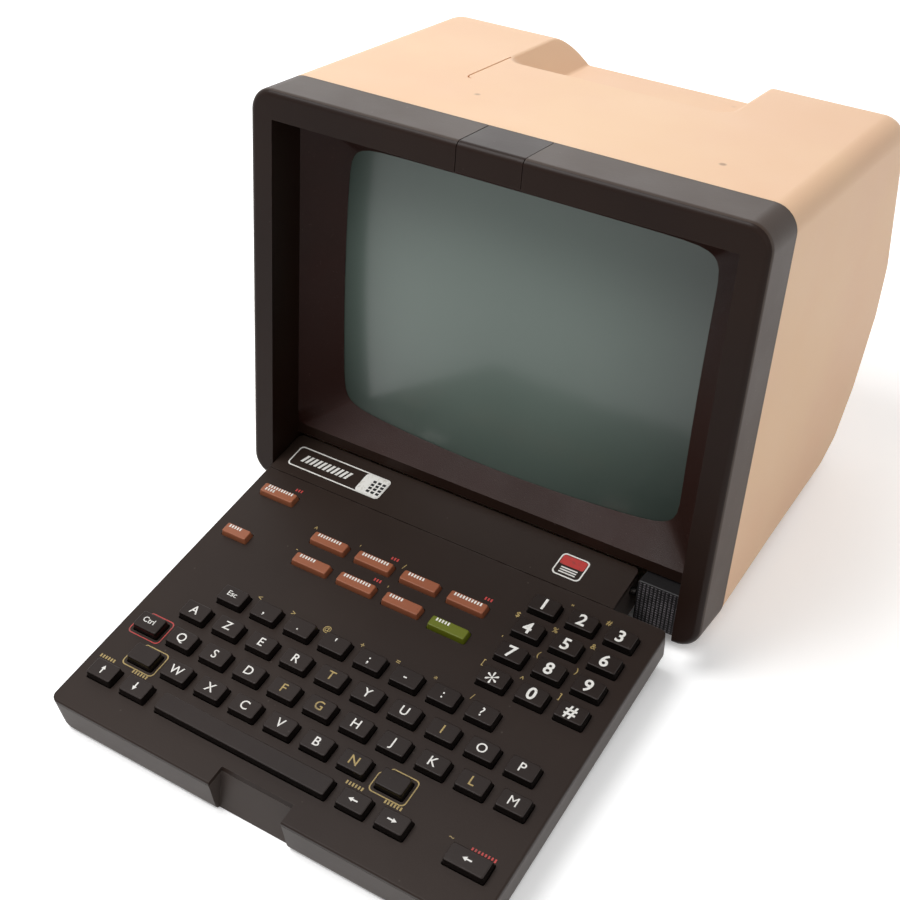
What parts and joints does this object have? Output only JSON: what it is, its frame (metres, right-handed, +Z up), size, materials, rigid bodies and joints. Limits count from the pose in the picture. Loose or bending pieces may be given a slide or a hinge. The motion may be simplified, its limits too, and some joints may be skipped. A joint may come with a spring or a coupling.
{
  "type": "computer terminal",
  "caption": "Desk computer terminal: peach cabinet with a small picture tube, dark bezel and a dark keyboard that folds up over the screen.",
  "frame": {"origin": "middle of the footprint, on the desk that the terminal stands on", "axes": "+X to the right of a user who faces the screen, +Y from the user to the back, +Z up"},
  "size_m": [0.2454, 0.3862, 0.2122],
  "materials": {
    "dark_brown": "fine textured dark brown moulded plastic, lightly worn",
    "peach": "fine textured peach-beige moulded plastic",
    "tube_glass": "grey-green picture tube glass, glossy",
    "plated_steel": "zinc-plated steel",
    "copper_winding": "enamelled copper winding",
    "circuit_board": "green circuit board",
    "black_plastic": "black moulded plastic",
    "heat_sink_metal": "bare extruded aluminium",
    "black_rubber": "black rubber",
    "key_brown": "very dark brown key plastic, polished by use",
    "key_terracotta": "terracotta key plastic",
    "key_olive": "olive green key plastic"
  },
  "bodies": {
    "terminal": {"front_bezel": "dark_brown", "rear_shell": "peach", "base_cover": "peach", "picture_tube": "tube_glass", "tube_band": "plated_steel", "deflection_yoke": "copper_winding", "neck_board": "circuit_board", "main_board": "circuit_board", "mains_transformer": "plated_steel", "flyback_transformer": "black_plastic", "filter_capacitor": "black_plastic", "heat_sink": "heat_sink_metal", "buzzer": "black_plastic", "power_switch": "black_plastic", "peripheral_socket": "black_plastic", "line_cord_gland": "black_rubber", "mains_cord_gland": "black_rubber", "foot_front_left": "black_rubber", "foot_front_right": "black_rubber", "foot_rear_left": "black_rubber", "foot_rear_right": "black_rubber", "hinge_pin_left": "plated_steel", "hinge_pin_right": "plated_steel"},
    "keyboard": {"keyboard_top_shell": "dark_brown", "keyboard_bottom_shell": "dark_brown", "key_mat": "black_rubber", "key_circuit_board": "circuit_board"},
    "latch_button": {"latch_button": "dark_brown"},
    "power_button": {"power_button": "dark_brown"},
    "brightness_knob": {"brightness_knob": "dark_brown"},
    "punctuation_keys": {"punctuation_keys": "key_brown"},
    "top_letter_keys": {"top_letter_keys": "key_brown"},
    "middle_letter_keys": {"middle_letter_keys": "key_brown"},
    "bottom_letter_keys": {"bottom_letter_keys": "key_brown"},
    "upright_arrow_keys": {"upright_arrow_keys": "key_brown"},
    "level_arrow_keys": {"level_arrow_keys": "key_brown"},
    "space_bar": {"space_bar": "key_brown"},
    "return_key": {"return_key": "key_brown"},
    "send_key": {"send_key": "key_olive"},
    "function_key_upper_1": {"function_key_upper_1": "key_terracotta"},
    "function_key_upper_2": {"function_key_upper_2": "key_terracotta"},
    "function_key_upper_3": {"function_key_upper_3": "key_terracotta"},
    "function_key_upper_4": {"function_key_upper_4": "key_terracotta"},
    "function_key_lower_1": {"function_key_lower_1": "key_terracotta"},
    "function_key_lower_2": {"function_key_lower_2": "key_terracotta"},
    "function_key_lower_3": {"function_key_lower_3": "key_terracotta"},
    "function_key_left": {"function_key_left": "key_terracotta"},
    "function_key_narrow": {"function_key_narrow": "key_terracotta"},
    "keypad_one": {"keypad_one": "key_brown"},
    "keypad_two": {"keypad_two": "key_brown"},
    "keypad_three": {"keypad_three": "key_brown"},
    "keypad_four": {"keypad_four": "key_brown"},
    "keypad_five": {"keypad_five": "key_brown"},
    "keypad_six": {"keypad_six": "key_brown"},
    "keypad_seven": {"keypad_seven": "key_brown"},
    "keypad_eight": {"keypad_eight": "key_brown"},
    "keypad_nine": {"keypad_nine": "key_brown"},
    "keypad_star": {"keypad_star": "key_brown"},
    "keypad_zero": {"keypad_zero": "key_brown"},
    "keypad_hash": {"keypad_hash": "key_brown"}
  },
  "joints": [
    {"name": "keyboard_fold", "type": "hinge", "parent": "terminal", "child": "keyboard", "pos_m": [0, -0.01555, 0.02245], "axis": [-1, 0, 0], "range_deg": [0, 105.16]},
    {"name": "latch_press", "type": "slide", "parent": "terminal", "child": "latch_button", "axis": [0, -0.2192, -0.9757], "range_m": [0, 0.0022], "stiffness_N_per_m": 600, "springref_m": -0.001},
    {"name": "power_press", "type": "slide", "parent": "terminal", "child": "power_button", "axis": [0, 0.9757, -0.2192], "range_m": [0, 0.0035], "stiffness_N_per_m": 400, "springref_m": -0.001},
    {"name": "brightness_turn", "type": "hinge", "parent": "terminal", "child": "brightness_knob", "pos_m": [-0.088, 0.18535, 0.07593], "axis": [0, 0.9757, -0.2192], "range_deg": [-135, 135]},
    {"name": "punctuation_keys_press", "type": "slide", "parent": "keyboard", "child": "punctuation_keys", "axis": [0, 0.0436, -0.999], "range_m": [0, 0.0025], "stiffness_N_per_m": 1000, "springref_m": -0.0012},
    {"name": "top_letter_keys_press", "type": "slide", "parent": "keyboard", "child": "top_letter_keys", "axis": [0, 0.0436, -0.999], "range_m": [0, 0.0025], "stiffness_N_per_m": 1000, "springref_m": -0.0012},
    {"name": "middle_letter_keys_press", "type": "slide", "parent": "keyboard", "child": "middle_letter_keys", "axis": [0, 0.0436, -0.999], "range_m": [0, 0.0025], "stiffness_N_per_m": 1000, "springref_m": -0.0012},
    {"name": "bottom_letter_keys_press", "type": "slide", "parent": "keyboard", "child": "bottom_letter_keys", "axis": [0, 0.0436, -0.999], "range_m": [0, 0.0025], "stiffness_N_per_m": 1000, "springref_m": -0.0012},
    {"name": "upright_arrow_keys_press", "type": "slide", "parent": "keyboard", "child": "upright_arrow_keys", "axis": [0, 0.0436, -0.999], "range_m": [0, 0.0025], "stiffness_N_per_m": 1000, "springref_m": -0.0012},
    {"name": "level_arrow_keys_press", "type": "slide", "parent": "keyboard", "child": "level_arrow_keys", "axis": [0, 0.0436, -0.999], "range_m": [0, 0.0025], "stiffness_N_per_m": 1000, "springref_m": -0.0012},
    {"name": "space_bar_press", "type": "slide", "parent": "keyboard", "child": "space_bar", "axis": [0, 0.0436, -0.999], "range_m": [0, 0.0025], "stiffness_N_per_m": 200, "springref_m": -0.0012},
    {"name": "return_key_press", "type": "slide", "parent": "keyboard", "child": "return_key", "axis": [0, 0.0436, -0.999], "range_m": [0, 0.0025], "stiffness_N_per_m": 200, "springref_m": -0.0012},
    {"name": "send_key_press", "type": "slide", "parent": "keyboard", "child": "send_key", "axis": [0, 0.0436, -0.999], "range_m": [0, 0.0025], "stiffness_N_per_m": 200, "springref_m": -0.0012},
    {"name": "function_key_upper_1_press", "type": "slide", "parent": "keyboard", "child": "function_key_upper_1", "axis": [0, 0.0436, -0.999], "range_m": [0, 0.0025], "stiffness_N_per_m": 200, "springref_m": -0.0012},
    {"name": "function_key_upper_2_press", "type": "slide", "parent": "keyboard", "child": "function_key_upper_2", "axis": [0, 0.0436, -0.999], "range_m": [0, 0.0025], "stiffness_N_per_m": 200, "springref_m": -0.0012},
    {"name": "function_key_upper_3_press", "type": "slide", "parent": "keyboard", "child": "function_key_upper_3", "axis": [0, 0.0436, -0.999], "range_m": [0, 0.0025], "stiffness_N_per_m": 200, "springref_m": -0.0012},
    {"name": "function_key_upper_4_press", "type": "slide", "parent": "keyboard", "child": "function_key_upper_4", "axis": [0, 0.0436, -0.999], "range_m": [0, 0.0025], "stiffness_N_per_m": 200, "springref_m": -0.0012},
    {"name": "function_key_lower_1_press", "type": "slide", "parent": "keyboard", "child": "function_key_lower_1", "axis": [0, 0.0436, -0.999], "range_m": [0, 0.0025], "stiffness_N_per_m": 200, "springref_m": -0.0012},
    {"name": "function_key_lower_2_press", "type": "slide", "parent": "keyboard", "child": "function_key_lower_2", "axis": [0, 0.0436, -0.999], "range_m": [0, 0.0025], "stiffness_N_per_m": 200, "springref_m": -0.0012},
    {"name": "function_key_lower_3_press", "type": "slide", "parent": "keyboard", "child": "function_key_lower_3", "axis": [0, 0.0436, -0.999], "range_m": [0, 0.0025], "stiffness_N_per_m": 200, "springref_m": -0.0012},
    {"name": "function_key_left_press", "type": "slide", "parent": "keyboard", "child": "function_key_left", "axis": [0, 0.0436, -0.999], "range_m": [0, 0.0025], "stiffness_N_per_m": 200, "springref_m": -0.0012},
    {"name": "function_key_narrow_press", "type": "slide", "parent": "keyboard", "child": "function_key_narrow", "axis": [0, 0.0436, -0.999], "range_m": [0, 0.0025], "stiffness_N_per_m": 200, "springref_m": -0.0012},
    {"name": "keypad_one_press", "type": "slide", "parent": "keyboard", "child": "keypad_one", "axis": [0, 0.0436, -0.999], "range_m": [0, 0.0025], "stiffness_N_per_m": 200, "springref_m": -0.0012},
    {"name": "keypad_two_press", "type": "slide", "parent": "keyboard", "child": "keypad_two", "axis": [0, 0.0436, -0.999], "range_m": [0, 0.0025], "stiffness_N_per_m": 200, "springref_m": -0.0012},
    {"name": "keypad_three_press", "type": "slide", "parent": "keyboard", "child": "keypad_three", "axis": [0, 0.0436, -0.999], "range_m": [0, 0.0025], "stiffness_N_per_m": 200, "springref_m": -0.0012},
    {"name": "keypad_four_press", "type": "slide", "parent": "keyboard", "child": "keypad_four", "axis": [0, 0.0436, -0.999], "range_m": [0, 0.0025], "stiffness_N_per_m": 200, "springref_m": -0.0012},
    {"name": "keypad_five_press", "type": "slide", "parent": "keyboard", "child": "keypad_five", "axis": [0, 0.0436, -0.999], "range_m": [0, 0.0025], "stiffness_N_per_m": 200, "springref_m": -0.0012},
    {"name": "keypad_six_press", "type": "slide", "parent": "keyboard", "child": "keypad_six", "axis": [0, 0.0436, -0.999], "range_m": [0, 0.0025], "stiffness_N_per_m": 200, "springref_m": -0.0012},
    {"name": "keypad_seven_press", "type": "slide", "parent": "keyboard", "child": "keypad_seven", "axis": [0, 0.0436, -0.999], "range_m": [0, 0.0025], "stiffness_N_per_m": 200, "springref_m": -0.0012},
    {"name": "keypad_eight_press", "type": "slide", "parent": "keyboard", "child": "keypad_eight", "axis": [0, 0.0436, -0.999], "range_m": [0, 0.0025], "stiffness_N_per_m": 200, "springref_m": -0.0012},
    {"name": "keypad_nine_press", "type": "slide", "parent": "keyboard", "child": "keypad_nine", "axis": [0, 0.0436, -0.999], "range_m": [0, 0.0025], "stiffness_N_per_m": 200, "springref_m": -0.0012},
    {"name": "keypad_star_press", "type": "slide", "parent": "keyboard", "child": "keypad_star", "axis": [0, 0.0436, -0.999], "range_m": [0, 0.0025], "stiffness_N_per_m": 200, "springref_m": -0.0012},
    {"name": "keypad_zero_press", "type": "slide", "parent": "keyboard", "child": "keypad_zero", "axis": [0, 0.0436, -0.999], "range_m": [0, 0.0025], "stiffness_N_per_m": 200, "springref_m": -0.0012},
    {"name": "keypad_hash_press", "type": "slide", "parent": "keyboard", "child": "keypad_hash", "axis": [0, 0.0436, -0.999], "range_m": [0, 0.0025], "stiffness_N_per_m": 200, "springref_m": -0.0012}
  ]
}
